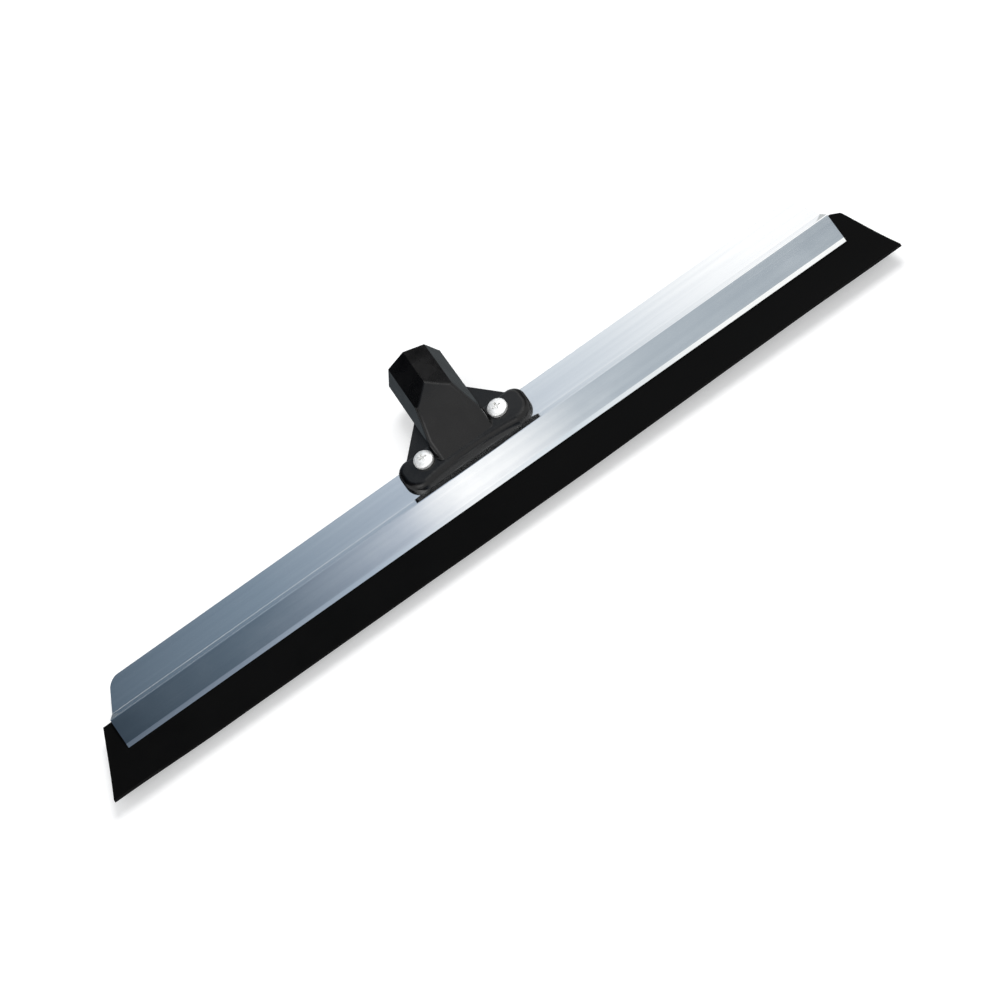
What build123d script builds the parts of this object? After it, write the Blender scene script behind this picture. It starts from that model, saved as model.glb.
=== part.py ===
from build123d import *
from math import cos, radians, tan
import os

# Floor squeegee head, lying on its back: X along the blade, +Y from the working edge to the
# handle, +Z out of the front face. All sizes are in millimetres.
# Every piece is drawn from the middle of the holder's folded top edge, on its front face,
# and is moved to its place when it is written.

# Rubber blade
blade_length = 600.0        # along the working edge
blade_height = 54.0         # working edge to back edge
blade_thick = 3.0
blade_slant = 20.0          # lean of each end towards the working edge, degrees
blade_clearance = 0.1       # between each face of the rubber and the sheet
blade_back_lap = 0.8        # the back edge reaches this far up beside the step
blade_edge_round = 0.3

# Holder, one sheet folded double
holder_length = 548.0
sheet = 1.0
hem_gap = 0.2               # between the two leaves above the step
plate_height = 24.8         # folded edge to the start of the step
step_run = 7.2              # height taken by the step
channel_height = 21.6       # bottom of the step to the pinched lip
lip_height = 3.2
lip_bite = 0.6              # how far the lip is pinched into the rubber
channel_taper = 1.6         # the channel narrows by this towards the lip
wall_crown = 0.25           # its wall stands proud by this at the middle
bend_radius = 2.0
wall_radius = 30.0
corner_run = 14.0           # how far each top corner is cut back at the folded edge
corner_radius = 13.0

# Fasteners: M6 screw, plain washer, hexagon nut
screw_gap = 1.5             # between the socket's side and each screw head
screw_drop = 8.0            # below the folded edge
screw_radius = 3.0
screw_length = 16.0         # under the head
screw_point = 0.6
head_radius = 6.65
head_side = 1.8
head_height = 3.6
recess_span = 6.4
recess_width = 1.5
recess_depth = 2.2
recess_taper = 12.0
washer_radius = 6.0
washer_thick = 1.6
nut_across_flats = 10.0
nut_height = 5.0
nut_corner_chamfer = 0.5
thread_clearance = 0.05
hole_clearance = 0.3

# Moulded handle socket
socket_shift = 8.0          # the socket sits this far to the right of the middle
flange_thick = 6.0
ear_reach = 19.1            # how far each ear goes beyond its screw
flange_top = 1.9            # the ears reach this far above the folded edge
flange_foot_gap = 0.6       # between the flange's foot and the step in the sheet
ear_top_radius = 9.0
ear_foot_radius = 12.0
ear_foot_flat = 1.0         # flat foot beside each ear, before the arch
arch_rise = 2.8             # the flange's lower edge is arched up by this
web_thick = 4.0
web_reach = 10.5            # how far the web goes beyond each screw at the folded edge
web_height = 23.2
socket_across_flats = 37.0  # at the heel
socket_draft = 0.5          # degrees
socket_axis = 15.0          # above the front face
socket_reach = 50.9         # folded edge to rim
heel_gap = 0.5              # between the folded edge and the socket's heel
ramp_top = 20.8             # where the ramp leaves the front corner of the socket
ramp_crown = 2.7
ramp_foot_gap = 4.5         # from the foot of the ramp down to the arch
ramp_round = 3.0            # on the edges of the ramp
foot_round = 1.4            # hollow where the ramp and the socket's sides meet the flange
bore_radius = 14.1          # for a 28 mm handle
bore_depth = 32.0
bore_tip_radius = 7.0       # the bore ends in a cone, for the handle's turned end
bore_tip_depth = 15.0
mouth_chamfer = 1.0
rim_round = 0.8
flange_round = 4.0          # on the front rim of the flange

# Shapes that only cut run this far past what they cut, and edges are found to within this
cut_past = 100.0
near = 0.01

# Worked out
channel_gap = blade_thick + 2 * blade_clearance
wall_out = channel_gap - hem_gap
step_out = wall_out + channel_taper
holder_thick = 2 * sheet + hem_gap
step_y = -plate_height - step_run
wall_y = step_y - channel_height
lip_y = wall_y - lip_height
blade_back = step_y + blade_back_lap
blade_edge = blade_back - blade_height
blade_rear = -sheet - hem_gap + blade_clearance
blade_front = blade_rear + blade_thick
hole_radius = screw_radius + hole_clearance
flange_foot = flange_foot_gap - plate_height
arch_foot = flange_foot + arch_rise
ramp_foot = arch_foot + ramp_foot_gap
corner_share = 1 / cos(radians(22.5))   # an octagon's corner radius over its flat radius
heel_radius = socket_across_flats / 2 * corner_share
screw_x = heel_radius + screw_gap + head_radius


def socket_radius(y):
    """Corner radius of the drafted socket at a height."""
    return heel_radius - (y - heel_gap) * tan(radians(socket_draft)) * corner_share


def screw_places():
    return [(side, socket_shift + sign * screw_x) for side, sign in (("left", -1), ("right", 1))]


def tall_prism(face, low, high):
    """A face drawn in the XY plane, standing from one height to another."""
    return extrude(Pos(0, 0, low) * face, high - low)


def blade_holder():
    fold = holder_thick / 2
    rear = Line((lip_y, -holder_thick), (-fold, -holder_thick))
    hem = ThreePointArc((-fold, -holder_thick), (0, -fold), (-fold, 0))
    front = FilletPolyline(
        (-fold, 0),
        (-plate_height, 0),
        (step_y, step_out),
        ((step_y + wall_y) / 2, (step_out + wall_out) / 2 + wall_crown),
        (wall_y, wall_out),
        (lip_y, wall_out - lip_bite),
        radius=(bend_radius, bend_radius, wall_radius, bend_radius),
    )
    outside = Wire([*rear.edges(), *hem.edges(), *front.edges()])
    section = make_face(offset(outside, sheet, side=Side.RIGHT))
    if section.area > sheet * outside.length * 1.5:
        raise ValueError("the sheet was offset to the wrong side")
    body = extrude(Plane.YZ * section, holder_length / 2, both=True)
    half = holder_length / 2
    plan = Polygon(
        (-half, lip_y - cut_past), (half, lip_y - cut_past), (half, step_y),
        (half - corner_run, 0), (corner_run - half, 0), (-half, step_y),
        align=None,
    )
    top_corners = plan.vertices().sort_by(Axis.Y)[-2:]
    plan = fillet(top_corners, corner_radius)
    body &= tall_prism(plan, -cut_past, cut_past)
    for _, x in screw_places():
        body -= Pos(x, -screw_drop, -holder_thick / 2) * Cylinder(hole_radius, 2 * holder_thick)
    return body


def rubber_blade():
    bite_y = lip_y - blade_clearance
    section = Polygon(
        (blade_back, blade_rear), (blade_back, blade_front), (wall_y, blade_front),
        (bite_y, blade_front - lip_bite), (bite_y - lip_bite, blade_front),
        (blade_edge, blade_front), (blade_edge, blade_rear),
        align=None,
    )
    edge_corners = section.vertices().sort_by(Axis.X)[:2]
    section = fillet(edge_corners, blade_edge_round)
    body = extrude(Plane.YZ * section, blade_length / 2, both=True)
    half = blade_length / 2
    inset = blade_height * tan(radians(blade_slant))
    plan = Polygon(
        (-half, blade_edge), (half, blade_edge), (half - inset, blade_back), (inset - half, blade_back),
        align=None,
    )
    return body & tall_prism(plan, -cut_past, cut_past)


def flange():
    """Two round ears joined by an arched foot, with thinner webs rising to the socket."""
    half = screw_x + ear_reach
    arch_x = half - ear_foot_radius - ear_foot_flat
    sides = FilletPolyline(
        (arch_x, flange_foot),
        (half, flange_foot),
        (half, flange_top),
        (-half, flange_top),
        (-half, flange_foot),
        (-arch_x, flange_foot),
        radius=(ear_foot_radius, ear_top_radius, ear_top_radius, ear_foot_radius),
    )
    arch = ThreePointArc((-arch_x, flange_foot), (0, arch_foot), (arch_x, flange_foot))
    outline = make_face(Wire([*sides.edges(), arch.edge()]))
    plate = extrude(outline, flange_thick)
    front_rim = plate.faces().sort_by(Axis.Z)[-1].edges()
    plate = fillet(front_rim, flange_round)
    web_head = socket_radius(web_height)
    web_foot = screw_x + web_reach
    web = Polygon(
        (-screw_x, arch_foot), (screw_x, arch_foot), (web_foot, 0),
        (web_head, web_height), (-web_head, web_height), (-web_foot, 0),
        align=None,
    )
    return plate + extrude(web, web_thick)


def socket_block():
    """Drafted octagon with a corner to the front, carried down onto the flange and cut by the ramp."""
    octagon = Plane.XZ * RegularPolygon(heel_radius, 8)
    tube = extrude(Pos(0, heel_gap, 0) * octagon, -(socket_reach - heel_gap), taper=socket_draft)
    neck = extrude(Pos(0, ramp_foot, 0) * octagon, -(heel_gap - ramp_foot))
    neck += Pos(0, (heel_gap + ramp_foot) / 2, -socket_axis / 2) * Box(
        2 * heel_radius, heel_gap - ramp_foot, socket_axis
    )
    neck &= Pos(0, 0, -socket_axis) * Box(
        2 * cut_past, 2 * cut_past, cut_past, align=(Align.CENTER, Align.CENTER, Align.MIN)
    )
    block = Pos(0, 0, socket_axis) * (tube + neck)
    high = (ramp_top, socket_axis + socket_radius(ramp_top))
    low = (ramp_foot, flange_thick)
    middle = ((high[0] + low[0]) / 2, (high[1] + low[1]) / 2)
    run = Vector(*high) - Vector(*low)
    bulge = Vector(*middle) + Vector(-run.Y, run.X).normalized() * ramp_crown
    above = low[1] + cut_past
    ramp = Wire([
        ThreePointArc(low, (bulge.X, bulge.Y), high).edge(),
        Line(high, (high[0], above)).edge(),
        Line((high[0], above), (-cut_past, above)).edge(),
        Line((-cut_past, above), (-cut_past, low[1])).edge(),
        Line((-cut_past, low[1]), low).edge(),
    ])
    block -= extrude(Plane.YZ * make_face(ramp), cut_past, both=True)
    ramp_face = block.faces().filter_by(GeomType.CYLINDER)[0]
    ramp_edges = [e for e in ramp_face.edges() if e.geom_type != GeomType.LINE]
    return fillet(ramp_edges, ramp_round)


def handle_socket():
    body = flange() + socket_block()
    foot = body.edges().filter_by(GeomType.LINE).filter_by(
        lambda e: abs(e.center().X) < near and abs(e.center().Z - flange_thick) < near
    )
    body = fillet(foot, foot_round)
    bore = Pos(0, socket_reach - bore_depth / 2, socket_axis) * Rot(-90, 0, 0) * Cylinder(bore_radius, bore_depth)
    tip_y = socket_reach - bore_depth - bore_tip_depth / 2
    tip = Pos(0, tip_y, socket_axis) * Rot(-90, 0, 0) * Cone(bore_tip_radius, bore_radius, bore_tip_depth)
    body -= bore + tip
    for sign in (-1, 1):
        body -= Pos(sign * screw_x, -screw_drop, flange_thick / 2) * Cylinder(hole_radius, 2 * flange_thick)
    rim = body.faces().sort_by(Axis.Y)[-1]
    mouth = rim.inner_wires()[0].edges()
    body = chamfer(mouth, mouth_chamfer)
    rim = body.faces().sort_by(Axis.Y)[-1]
    body = fillet(rim.outer_wire().edges(), rim_round)
    return Pos(socket_shift, 0, 0) * body


def screw():
    """Pan head with a cross recess on a plain shank; the head's seat is at Z = 0."""
    tip_radius = screw_radius - screw_point
    outline = Wire([
        EllipticalCenterArc((0, head_side), head_radius, head_height - head_side, arc_size=90).edge(),
        Line((0, head_height), (0, -screw_length)).edge(),
        Line((0, -screw_length), (tip_radius, -screw_length)).edge(),
        Line((tip_radius, -screw_length), (screw_radius, screw_point - screw_length)).edge(),
        Line((screw_radius, screw_point - screw_length), (screw_radius, 0)).edge(),
        Line((screw_radius, 0), (head_radius, 0)).edge(),
        Line((head_radius, 0), (head_radius, head_side)).edge(),
    ])
    body = revolve(Plane.XZ * make_face(outline), Axis.Z)
    for size in ((recess_span, recess_width), (recess_width, recess_span)):
        body -= extrude(Pos(0, 0, head_height) * Rectangle(*size), -recess_depth, taper=recess_taper)
    return body


def washer():
    return extrude(Circle(washer_radius) - Circle(hole_radius), -washer_thick)


def nut():
    """Hexagon nut with its corners turned off at both faces."""
    corner = nut_across_flats / 2 / cos(radians(30))
    body = extrude(RegularPolygon(corner, 6) - Circle(screw_radius + thread_clearance), -nut_height)
    drum = Pos(0, 0, -nut_height / 2) * Cylinder(corner, nut_height)
    drum = chamfer(drum.edges().filter_by(GeomType.CIRCLE), nut_corner_chamfer)
    return body & drum


place = Pos(0, (-blade_edge - socket_reach) / 2, screw_length - flange_thick)
pieces = {
    "blade_holder": blade_holder(),
    "rubber_blade": rubber_blade(),
    "handle_socket": handle_socket(),
}
for side, x in screw_places():
    pieces[f"screw_{side}"] = Pos(x, -screw_drop, flange_thick) * screw()
    pieces[f"washer_{side}"] = Pos(x, -screw_drop, -holder_thick) * washer()
    pieces[f"nut_{side}"] = Pos(x, -screw_drop, -holder_thick - washer_thick) * nut()

os.makedirs("parts", exist_ok=True)
for name, shape in pieces.items():
    export_step(place * shape, f"parts/{name}.step")
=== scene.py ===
import bpy
import math
import numpy as np
from mathutils import Matrix, Vector


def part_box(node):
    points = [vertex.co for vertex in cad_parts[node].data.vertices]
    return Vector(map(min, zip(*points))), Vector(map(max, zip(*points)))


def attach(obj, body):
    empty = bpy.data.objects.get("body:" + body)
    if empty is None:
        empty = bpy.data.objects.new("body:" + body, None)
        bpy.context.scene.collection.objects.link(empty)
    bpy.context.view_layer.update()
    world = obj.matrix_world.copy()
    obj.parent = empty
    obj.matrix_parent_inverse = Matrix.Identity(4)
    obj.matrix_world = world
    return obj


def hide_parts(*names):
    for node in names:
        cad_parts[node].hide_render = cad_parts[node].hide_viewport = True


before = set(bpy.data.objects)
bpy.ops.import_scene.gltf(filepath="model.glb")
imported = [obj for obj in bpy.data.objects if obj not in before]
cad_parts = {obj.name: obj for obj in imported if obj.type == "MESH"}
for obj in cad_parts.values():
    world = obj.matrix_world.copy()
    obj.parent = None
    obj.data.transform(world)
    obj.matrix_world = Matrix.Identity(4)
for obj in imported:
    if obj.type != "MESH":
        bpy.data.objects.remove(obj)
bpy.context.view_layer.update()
print("frame loaded:", ", ".join(sorted(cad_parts)))

mm = 0.001


def linearColour(hexCode):
    # sRGB hex to linear: the low end is a straight line, the rest a 2.4 power
    parts = [int(hexCode[i:i + 2], 16) / 255 for i in (1, 3, 5)]
    return [c / 12.92 if c <= 0.04045 else ((c + 0.055) / 1.055) ** 2.4 for c in parts] + [1.0]


def addNode(tree, kind, links=None, **settings):
    # makes one node; settings are its own properties or input values, links feed its inputs
    node = tree.nodes.new(kind)
    for name, value in settings.items():
        if name in node.bl_rna.properties:
            setattr(node, name, value)
        else:
            node.inputs[name.replace("_", " ")].default_value = value
    for name, source in (links or {}).items():
        target = node.inputs[name] if isinstance(name, int) else node.inputs[name.replace("_", " ")]
        tree.links.new(source, target)
    return node


def setRamp(node, stops):
    # colour stops as (position, hex)
    ramp = node.color_ramp
    while len(ramp.elements) < len(stops):
        ramp.elements.new(0.5)
    for element, (position, colour) in zip(ramp.elements, stops):
        element.position = position
        element.color = linearColour(colour)
    return node


def newMaterial(name):
    material = bpy.data.materials.new(name)
    material.use_nodes = True
    tree = material.node_tree
    tree.nodes.clear()
    return material, tree


def finishMaterial(tree, shader):
    addNode(tree, "ShaderNodeOutputMaterial", links={"Surface": shader.outputs[0]})


def addRoughness(tree, noise, ends):
    # roughness from one end of the range to the other, over the middle of a noise's values
    return addNode(tree, "ShaderNodeMapRange", From_Min=0.3, From_Max=0.7, To_Min=ends[0], To_Max=ends[1],
                   links={"Value": noise.outputs["Fac"]})


def newMesh(name, points, faces, material=None, smooth=True):
    mesh = bpy.data.meshes.new(name)
    mesh.from_pydata(points.tolist(), [], faces)
    mesh.validate()
    mesh.polygons.foreach_set("use_smooth", np.full(len(mesh.polygons), smooth))
    piece = bpy.data.objects.new(name, mesh)
    bpy.context.scene.collection.objects.link(piece)
    if material:
        mesh.materials.append(material)
    return piece


camera = {
    "aim": (0.0043, -0.0471, 0.010),
    "elevation": 51.0,          # degrees above the floor
    "roll": 35.23,              # the right end up
    "distance": 10.0,
    "viewWidth": 0.6236,        # metres across at the aim
    "sensorWidth": 36.0,        # millimetres
    "clip": (0.05, 100.0),
}


def makeCamera():
    data = bpy.data.cameras.new("camera")
    data.sensor_width = camera["sensorWidth"]
    data.lens = data.sensor_width * camera["distance"] / camera["viewWidth"]
    data.clip_start, data.clip_end = camera["clip"]
    tilt = math.radians(90.0 - camera["elevation"])
    turn = Matrix.Rotation(tilt, 4, "X") @ Matrix.Rotation(-math.radians(camera["roll"]), 4, "Z")
    place = Vector(camera["aim"]) + turn @ Vector((0, 0, camera["distance"]))
    eye = bpy.data.objects.new("camera", data)
    eye.matrix_world = Matrix.Translation(place) @ turn
    bpy.context.scene.collection.objects.link(eye)
    bpy.context.scene.camera = eye


makeCamera()
print("camera made")


studio = {
    "floorSize": 40.0,
    "floorColour": "#e6e6e6",
    "glowColour": "#ffffff",
    "floorGlow": 0.35,          # what the camera and clear reflections see on top of the lit floor
    "worldColour": "#f4f6f8",
    "worldStrength": 0.55,
    "keyPower": 26.0,
    "keySize": 1.2,
    "keyPlace": (0.9, 0.5, 1.9),
    "fillPower": 10.0,
    "fillSize": 1.6,
    "fillPlace": (-1.2, -1.4, 1.5),
}


def addSeenRays(tree):
    # 1 for a ray from the camera, a reflection or clear glass, and 0 for the light that falls on things
    path = addNode(tree, "ShaderNodeLightPath")
    seen = addNode(tree, "ShaderNodeMath", operation="MAXIMUM",
                   links={0: path.outputs["Is Camera Ray"], 1: path.outputs["Is Glossy Ray"]})
    return addNode(tree, "ShaderNodeMath", operation="MAXIMUM",
                   links={0: seen.outputs[0], 1: path.outputs["Is Transmission Ray"]})


def makeFloor():
    material, tree = newMaterial("painted_studio_floor")
    # matt paint with a white glow that only the camera and clear reflections see, so the shadow stays
    seen = addSeenRays(tree)
    amount = addNode(tree, "ShaderNodeMath", operation="MULTIPLY", links={0: seen.outputs[0]})
    amount.inputs[1].default_value = studio["floorGlow"]
    glow = addNode(tree, "ShaderNodeEmission", Color=linearColour(studio["glowColour"]),
                   links={"Strength": amount.outputs[0]})
    paint = addNode(tree, "ShaderNodeBsdfDiffuse", Color=linearColour(studio["floorColour"]))
    both = addNode(tree, "ShaderNodeAddShader", links={0: paint.outputs[0], 1: glow.outputs[0]})
    finishMaterial(tree, both)
    half = studio["floorSize"] / 2
    points = np.array([(-half, -half, 0), (half, -half, 0), (half, half, 0), (-half, half, 0)])
    floor = newMesh("floor", points, [(0, 1, 2, 3)], material, smooth=False)


def makeWorld():
    world = bpy.data.worlds.new("studio_air")
    bpy.context.scene.world = world
    world.use_nodes = True
    tree = world.node_tree
    tree.nodes.clear()
    seen = addSeenRays(tree)
    soft = addNode(tree, "ShaderNodeBackground", Color=linearColour(studio["worldColour"]),
                   Strength=studio["worldStrength"])
    white = addNode(tree, "ShaderNodeBackground", Color=linearColour(studio["glowColour"]), Strength=1.0)
    both = addNode(tree, "ShaderNodeMixShader",
                   links={0: seen.outputs[0], 1: soft.outputs[0], 2: white.outputs[0]})
    addNode(tree, "ShaderNodeOutputWorld", links={"Surface": both.outputs[0]})


def makeLamp(name, place, size, power):
    data = bpy.data.lights.new(name, "AREA")
    data.shape = "DISK"
    data.size = size
    data.energy = power
    lamp = bpy.data.objects.new(name, data)
    aim = Vector(camera["aim"])
    back = (Vector(place) - aim).normalized()
    lamp.matrix_world = Matrix.Translation(place) @ back.to_track_quat("Z", "Y").to_matrix().to_4x4()
    bpy.context.scene.collection.objects.link(lamp)
    lamp.visible_camera = False


# sheets that only reflections see, glowing with painted reflections and painted shade for the metal and the
# socket
cards = {
    "radius": 1.3,              # metres from the head
    "halfWidth": 0.62,
    "strength": 1.15,
    # from straight up towards the back, in degrees; then painted reflection shades from the left edge to the
    # right: dark blue-grey at the left end, white at the right, the low and middle cards with a white streak near
    # the middle
    "paintedReflectionStrips": {
        "lowCard": (-16, 22, [(0.0, "#262e35"), (0.20, "#45505c"), (0.34, "#7c8897"), (0.44, "#a6b3c1"),
                              (0.50, "#fafafa"), (0.55, "#c4ced6"), (0.66, "#f2f2f0"), (1.0, "#eeeeec")]),
        "middleCard": (22, 35, [(0.0, "#04080d"), (0.20, "#131e29"), (0.36, "#5c6b79"), (0.45, "#a4aebc"),
                                (0.485, "#ffffff"), (0.515, "#ffffff"), (0.57, "#acb5bd"), (1.0, "#828a90")]),
        "backCard": (35, 84, [(0.0, "#2e3843"), (0.20, "#404d5a"), (0.36, "#758594"), (0.46, "#a7b2bf"),
                              (0.60, "#d2d8de"), (0.70, "#ffffff"), (1.0, "#ffffff")]),
    },
    "steps": 8,                 # flat facets in the bend of a card or a flag
    # painted reflection for the socket's sides and the step: grey at the left, pale at the right
    "paintedGreyReflectionShades": [(0.0, "#566069"), (0.45, "#7d868d"), (0.55, "#959c9f"), (0.8, "#dcdedd"),
                    (1.0, "#e4e4e2")],
    "greyReflectionRun": (0.02, 1.3),    # from where to where behind the head
    "greyReflectionHeight": 0.5 * mm,
    "flagEnd": 88.0,            # degrees from straight up
    "flagReach": 4.0,           # the far edge's X over the near edge's
    # painted shade that the socket's sides show
    "flagPaintedShade": "#14181c",
}


def addShadesAcross(tree, stops):
    # colour stops laid out along X, from the left edge of the cards to the right
    where = addNode(tree, "ShaderNodeTexCoord")
    split = addNode(tree, "ShaderNodeSeparateXYZ", links={0: where.outputs["Object"]})
    across = addNode(tree, "ShaderNodeMapRange", From_Min=-cards["halfWidth"], From_Max=cards["halfWidth"],
                     links={"Value": split.outputs["X"]})
    return setRamp(addNode(tree, "ShaderNodeValToRGB", links={"Fac": across.outputs[0]}), stops)


def makeBentSheet(name, side, near, far, material):
    # A sheet bent round the head: a point is its angle from straight up, at a fixed radius, and
    # its X, which is one of the two in side.
    steps = cards["steps"]
    angle = np.radians(np.linspace(near, far, steps + 1))
    x, turn = np.meshgrid(side, angle, indexing="ij")
    points = np.stack([x, cards["radius"] * np.sin(turn), cards["radius"] * np.cos(turn)], -1).reshape(-1, 3)
    i = np.arange(steps)
    faces = np.stack([i, i + 1, i + steps + 2, i + steps + 1], -1).tolist()
    return newMesh(name, points, faces, material)


def showOnlyInReflections(sheet):
    sheet.visible_camera = False
    sheet.visible_diffuse = False
    sheet.visible_shadow = False


def makePaintedReflectionCard(name, near, far, shades):
    # only glossy surfaces see it; its shades are a painted reflection, which the metal shows as dark and light
    # bands along its length
    material, tree = newMaterial(name + "_paper")
    shade = addShadesAcross(tree, shades)
    finishMaterial(tree, addNode(tree, "ShaderNodeEmission", Strength=cards["strength"],
                                 links={"Color": shade.outputs["Color"]}))
    side = np.array([-1, 1]) * cards["halfWidth"]
    card = makeBentSheet(name, side, near, far, material)
    showOnlyInReflections(card)


def makePaintedGreyReflection():
    # a glowing sheet just above the floor behind the head that only reflections see, painted grey: a painted
    # reflection that the socket's sides and the step in the sheet show
    material, tree = newMaterial("grey_table_paper")
    shade = addShadesAcross(tree, cards["paintedGreyReflectionShades"])
    finishMaterial(tree, addNode(tree, "ShaderNodeEmission", Strength=1.0,
                                 links={"Color": shade.outputs["Color"]}))
    wide, z = cards["halfWidth"], cards["greyReflectionHeight"]
    near, far = cards["greyReflectionRun"]
    points = np.array([(-wide, near, z), (wide, near, z), (wide, far, z), (-wide, far, z)])
    greyReflectionSheet = newMesh("paintedGreyReflection", points, [(0, 1, 2, 3)], material, smooth=False)
    showOnlyInReflections(greyReflectionSheet)


def makePaintedShadeFlag(name, x):
    # a dark glowing sheet beside the cards that only reflections see: painted shade that the sides of the socket
    # show
    material, tree = newMaterial(name + "_painted_shade")
    finishMaterial(tree, addNode(tree, "ShaderNodeEmission", Color=linearColour(cards["flagPaintedShade"]),
                                 Strength=1.0))
    side = np.array([x, x * cards["flagReach"]])
    flag = makeBentSheet(name, side, 0, cards["flagEnd"], material)
    showOnlyInReflections(flag)


makeFloor()
makeWorld()
makeLamp("keyLamp", studio["keyPlace"], studio["keySize"], studio["keyPower"])
makeLamp("fillLamp", studio["fillPlace"], studio["fillSize"], studio["fillPower"])
for cardName, (near, far, shades) in cards["paintedReflectionStrips"].items():
    makePaintedReflectionCard(cardName, near, far, shades)
makePaintedGreyReflection()
makePaintedShadeFlag("leftFlag", -cards["halfWidth"])
makePaintedShadeFlag("rightFlag", cards["halfWidth"])
print("studio made")


aluminiumFinish = {
    # roll lines are about 0.1 mm apart; drawn 1.25 mm apart and 125 mm long so that they show
    "lineScale": (8.0, 800.0, 800.0),
    "bandScale": (3.0, 160.0, 160.0),   # broader bands, 6 mm apart
    "cloudScale": 28.0,
    "tones": [(0.3, "#eceef0"), (0.7, "#f8f9f9")],
    "roughness": (0.06, 0.12),
    "bump": 0.10,
    "bumpDepth": 0.2 * mm,
}


def makeAluminium():
    # mill-finish aluminium sheet, rolled: the rolls leave fine lines along its length, so its
    # reflections are drawn out across them and break into faint streaks
    material, tree = newMaterial("rolled_aluminium_sheet")
    where = addNode(tree, "ShaderNodeTexCoord")
    along = addNode(tree, "ShaderNodeMapping", Scale=aluminiumFinish["lineScale"],
                    links={"Vector": where.outputs["Object"]})
    lines = addNode(tree, "ShaderNodeTexNoise", Scale=1.0, Detail=3.0, Roughness=0.6,
                    links={"Vector": along.outputs[0]})
    broad = addNode(tree, "ShaderNodeMapping", Scale=aluminiumFinish["bandScale"],
                    links={"Vector": where.outputs["Object"]})
    bands = addNode(tree, "ShaderNodeTexNoise", Scale=1.0, Detail=2.0, Roughness=0.5,
                    links={"Vector": broad.outputs[0]})
    cloud = addNode(tree, "ShaderNodeTexNoise", Scale=aluminiumFinish["cloudScale"], Detail=4.0, Roughness=0.6,
                    links={"Vector": where.outputs["Object"]})
    rough = addRoughness(tree, cloud, aluminiumFinish["roughness"])
    mixed = addNode(tree, "ShaderNodeMath", operation="ADD",
                    links={0: lines.outputs["Fac"], 1: bands.outputs["Fac"]})
    tone = setRamp(addNode(tree, "ShaderNodeValToRGB", links={"Fac": bands.outputs["Fac"]}),
                   aluminiumFinish["tones"])
    bump = addNode(tree, "ShaderNodeBump", Strength=aluminiumFinish["bump"],
                   Distance=aluminiumFinish["bumpDepth"], links={"Height": mixed.outputs[0]})
    metal = addNode(tree, "ShaderNodeBsdfPrincipled", Metallic=1.0,
                    links={"Base Color": tone.outputs["Color"], "Roughness": rough.outputs[0],
                           "Normal": bump.outputs[0]})
    finishMaterial(tree, metal)
    return material


rubberFinish = {
    "grainScale": 650.0,        # press grain is about 0.3 mm; drawn at 1.5 mm so that it shows
    "dustScale": 22.0,
    "tones": [(0.35, "#040404"), (0.7, "#080808")],
    "roughness": (0.48, 0.66),
    "ior": 1.45,
    "specular": 0.05,
    "bump": 0.15,
    "bumpDepth": 0.2 * mm,
}


def makeRubber():
    # black moulded rubber strip: matt, carbon black, with a faint grain that scatters a weak sheen
    material, tree = newMaterial("moulded_black_rubber")
    where = addNode(tree, "ShaderNodeTexCoord")
    grain = addNode(tree, "ShaderNodeTexNoise", Scale=rubberFinish["grainScale"], Detail=3.0, Roughness=0.6,
                    links={"Vector": where.outputs["Object"]})
    dust = addNode(tree, "ShaderNodeTexNoise", Scale=rubberFinish["dustScale"], Detail=5.0, Roughness=0.65,
                   links={"Vector": where.outputs["Object"]})
    tone = setRamp(addNode(tree, "ShaderNodeValToRGB", links={"Fac": dust.outputs["Fac"]}),
                   rubberFinish["tones"])
    rough = addRoughness(tree, dust, rubberFinish["roughness"])
    bump = addNode(tree, "ShaderNodeBump", Strength=rubberFinish["bump"],
                   Distance=rubberFinish["bumpDepth"], links={"Height": grain.outputs["Fac"]})
    shader = addNode(tree, "ShaderNodeBsdfPrincipled", IOR=rubberFinish["ior"],
                     Specular_IOR_Level=rubberFinish["specular"],
                     links={"Base Color": tone.outputs["Color"], "Roughness": rough.outputs[0],
                            "Normal": bump.outputs[0]})
    finishMaterial(tree, shader)
    return material


mouldingFinish = {
    "waveScale": 80.0,          # shrink waves are some 12 mm across
    "peelScale": 650.0,         # the skin's orange peel is 0.5 mm; drawn at 1.5 mm so that it shows
    "handledScale": 45.0,
    "tones": [(0.35, "#050506"), (0.7, "#0b0a0b")],
    "roughness": (0.20, 0.34),
    "ior": 1.53,
    "specular": 0.33,
    "waveBump": 0.25,
    "waveDepth": 1.0 * mm,
    "peelBump": 0.1,
    "peelDepth": 0.2 * mm,
}


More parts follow.
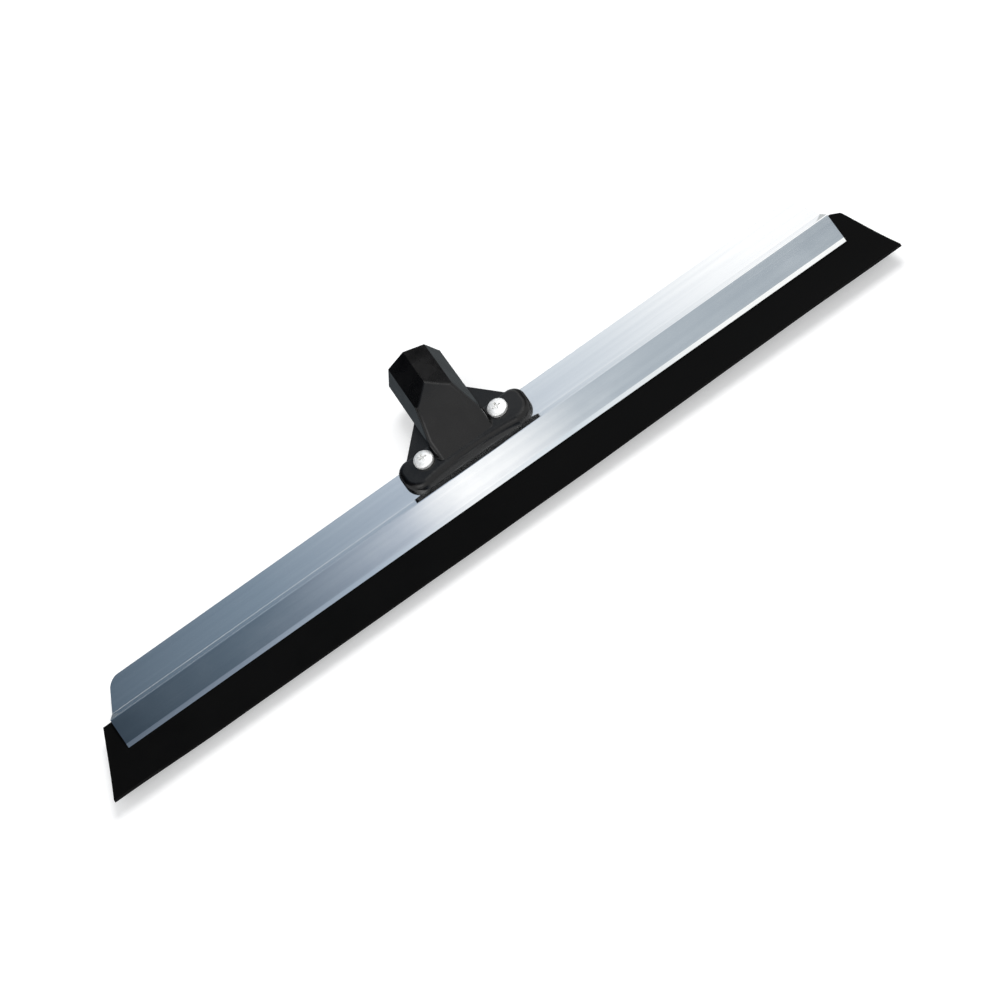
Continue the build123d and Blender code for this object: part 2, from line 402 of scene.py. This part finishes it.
def makeMoulding():
    # glossy black nylon, injection moulded: a smooth skin with soft mirror-like lights and a
    # slight waviness where it shrank
    material, tree = newMaterial("moulded_black_nylon")
    where = addNode(tree, "ShaderNodeTexCoord")
    waves = addNode(tree, "ShaderNodeTexNoise", Scale=mouldingFinish["waveScale"], Detail=2.0,
                    links={"Vector": where.outputs["Object"]})
    peel = addNode(tree, "ShaderNodeTexNoise", Scale=mouldingFinish["peelScale"], Detail=2.0,
                   links={"Vector": where.outputs["Object"]})
    handled = addNode(tree, "ShaderNodeTexNoise", Scale=mouldingFinish["handledScale"], Detail=5.0, Roughness=0.6,
                      links={"Vector": where.outputs["Object"]})
    rough = addRoughness(tree, handled, mouldingFinish["roughness"])
    tone = setRamp(addNode(tree, "ShaderNodeValToRGB", links={"Fac": handled.outputs["Fac"]}),
                   mouldingFinish["tones"])
    wavy = addNode(tree, "ShaderNodeBump", Strength=mouldingFinish["waveBump"],
                   Distance=mouldingFinish["waveDepth"], links={"Height": waves.outputs["Fac"]})
    skin = addNode(tree, "ShaderNodeBump", Strength=mouldingFinish["peelBump"],
                   Distance=mouldingFinish["peelDepth"],
                   links={"Height": peel.outputs["Fac"], "Normal": wavy.outputs[0]})
    shader = addNode(tree, "ShaderNodeBsdfPrincipled", IOR=mouldingFinish["ior"],
                     Specular_IOR_Level=mouldingFinish["specular"],
                     links={"Base Color": tone.outputs["Color"], "Roughness": rough.outputs[0],
                            "Normal": skin.outputs[0]})
    finishMaterial(tree, shader)
    return material


zincFinish = {
    "cloudScale": 480.0,        # the clouding is about 2 mm across
    "bump": 0.2,
    "bumpDepth": 0.1 * mm,
    "headTones": [(0.35, "#e8e8e6"), (0.65, "#ffffff")],
    "headRoughness": (0.55, 0.72),
    "plainTones": [(0.35, "#bfc3c6"), (0.65, "#dfe1e2")],
    "plainRoughness": (0.32, 0.5),
}


def makeZinc(name, tones, roughness):
    # zinc plating on steel: pale, clouded where the bath left it uneven
    material, tree = newMaterial(name)
    where = addNode(tree, "ShaderNodeTexCoord")
    cloud = addNode(tree, "ShaderNodeTexNoise", Scale=zincFinish["cloudScale"], Detail=4.0, Roughness=0.65,
                    links={"Vector": where.outputs["Object"]})
    tone = setRamp(addNode(tree, "ShaderNodeValToRGB", links={"Fac": cloud.outputs["Fac"]}), tones)
    rough = addRoughness(tree, cloud, roughness)
    bump = addNode(tree, "ShaderNodeBump", Strength=zincFinish["bump"], Distance=zincFinish["bumpDepth"],
                   links={"Height": cloud.outputs["Fac"]})
    plating = addNode(tree, "ShaderNodeBsdfPrincipled", Metallic=1.0,
                      links={"Base Color": tone.outputs["Color"], "Roughness": rough.outputs[0],
                             "Normal": bump.outputs[0]})
    finishMaterial(tree, plating)
    return material


aluminium = makeAluminium()
rubber = makeRubber()
nylon = makeMoulding()
zincHead = makeZinc("bright_zinc_plated_steel", zincFinish["headTones"], zincFinish["headRoughness"])
zincPlain = makeZinc("dull_zinc_plated_steel", zincFinish["plainTones"], zincFinish["plainRoughness"])
finishes = {
    "blade_holder": aluminium, "rubber_blade": rubber, "handle_socket": nylon,
    "screw_left": zincHead, "screw_right": zincHead, "washer_left": zincPlain,
    "washer_right": zincPlain, "nut_left": zincPlain, "nut_right": zincPlain,
}
for name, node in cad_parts.items():
    for materialSlot in node.material_slots:
        materialSlot.material = finishes[name]
print("materials made")


strip = {
    "slant": 20.0,              # lean of each end, degrees
    "edgeRound": 0.35 * mm,
    "roundPoints": 3,           # points within each round edge
    "rightRise": 2.8 * mm,      # how far the free edge is bent up at each end
    "leftRise": 1.5 * mm,
    "rightRun": (0.020, 0.240),     # from where to where along the blade it bends
    "leftRun": (-0.215, -0.300),
    "ripple": 0.12 * mm,
    "rippleLength": 0.085,
    "rippleDrift": 11.0,        # radians per metre, so that the ripple comes and goes
    "lipHeight": 3.2 * mm,
    "lipPlace": 0.25,           # where in its height the lip bites hardest
    "lipBite": 0.6 * mm,
    "lipOverrun": 0.5 * mm,     # how far past the holder's ends the pinch goes
    "sharpAngle": 35.0,
    "clipStart": 275.5 * mm,    # the right top corner is snipped off from here
    "clipSlope": 1.6,           # and runs out by this much for each unit down
    "stations": 241,
    "across": 46,
}


def smoothStep(value, start, end):
    t = np.clip((value - start) / (end - start), 0, 1)
    return t * t * (3 - 2 * t)


def makeRubberStrip():
    # A closed profile (two faces and two round edges) is carried along the blade; each station's
    # X is its share of the half length at that height, which shrinks by the slant. Below the
    # lip a point rises by the square of its distance from the lip times the rise at its X.
    low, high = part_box("rubber_blade")
    holderLow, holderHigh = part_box("blade_holder")
    edgeY, backY, rearZ, frontZ = low.y, high.y, low.z, high.z
    lipY = holderLow.y
    half = (high.x - low.x) / 2
    r = strip["edgeRound"]
    n = strip["across"]
    share = np.linspace(0, 1, n)
    cornerShare = np.linspace(0, np.pi / 2, strip["roundPoints"] + 2)[1:-1]
    # front face from back edge to working edge, then round to the rear face and back
    y = backY + (edgeY + r - backY) * share
    edgeTurnY = edgeY + r - r * np.sin(cornerShare)
    edgeTurnZ = r - r * np.cos(cornerShare)
    frontY = np.concatenate([y, edgeTurnY])
    frontDrop = np.concatenate([np.zeros(n), edgeTurnZ])
    profileY = np.concatenate([frontY, frontY[::-1]])
    profileZ = np.concatenate([frontZ - frontDrop, (rearZ + frontDrop)[::-1]])
    isFront = np.concatenate([np.ones(len(frontY)), np.zeros(len(frontY))])
    count = len(profileY)
    s = np.linspace(-1, 1, strip["stations"])[:, None]
    reach = half - (profileY - edgeY) * math.tan(math.radians(strip["slant"]))
    x = s * reach[None, :]
    # the right end stops at a line that snips its top corner off
    x = np.minimum(x, strip["clipStart"] + (backY - profileY) * strip["clipSlope"] * np.maximum(s, 0))
    yy = np.broadcast_to(profileY, x.shape).copy()
    zz = np.broadcast_to(profileZ, x.shape).copy()
    # pinch under the lip, only inside the holder
    inside = np.abs(x) < holderHigh.x + strip["lipOverrun"]
    pinchY = lipY + strip["lipHeight"] * strip["lipPlace"]
    pinch = np.clip(1 - np.abs(yy - pinchY) / strip["lipHeight"], 0, 1)
    zz -= strip["lipBite"] * pinch * isFront * inside
    # the free part bends up, more towards its edge
    out = np.clip((lipY - yy) / (lipY - edgeY), 0, 1) ** 2
    rise = strip["rightRise"] * smoothStep(x, *strip["rightRun"])
    rise = rise + strip["leftRise"] * smoothStep(x, *strip["leftRun"])
    wave = np.sin(2 * np.pi * x / strip["rippleLength"]) * np.cos(strip["rippleDrift"] * x)
    rise = rise + strip["ripple"] * wave
    zz += out * rise
    points = np.stack([x, yy, zz], axis=-1).reshape(-1, 3)
    i = np.arange(strip["stations"] - 1)[:, None] * count
    j = np.arange(count)[None, :]
    k = (j + 1) % count
    sides = np.stack([i + j, i + k, i + count + k, i + count + j], axis=-1).reshape(-1, 4)
    a = np.arange(count // 2 - 1)
    start = np.stack([a, count - 1 - a, count - 2 - a, a + 1], axis=-1)
    end = start[:, ::-1] + (strip["stations"] - 1) * count
    faces = np.concatenate([sides, start, end]).tolist()
    piece = newMesh("rubber_strip", points, faces, rubber)
    piece.data.set_sharp_from_angle(angle=math.radians(strip["sharpAngle"]))
    return piece


rubberStrip = makeRubberStrip()
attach(rubberStrip, "root")
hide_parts("rubber_blade")
print("rubber strip made")


view = bpy.context.scene.view_settings
view.view_transform = "Standard"
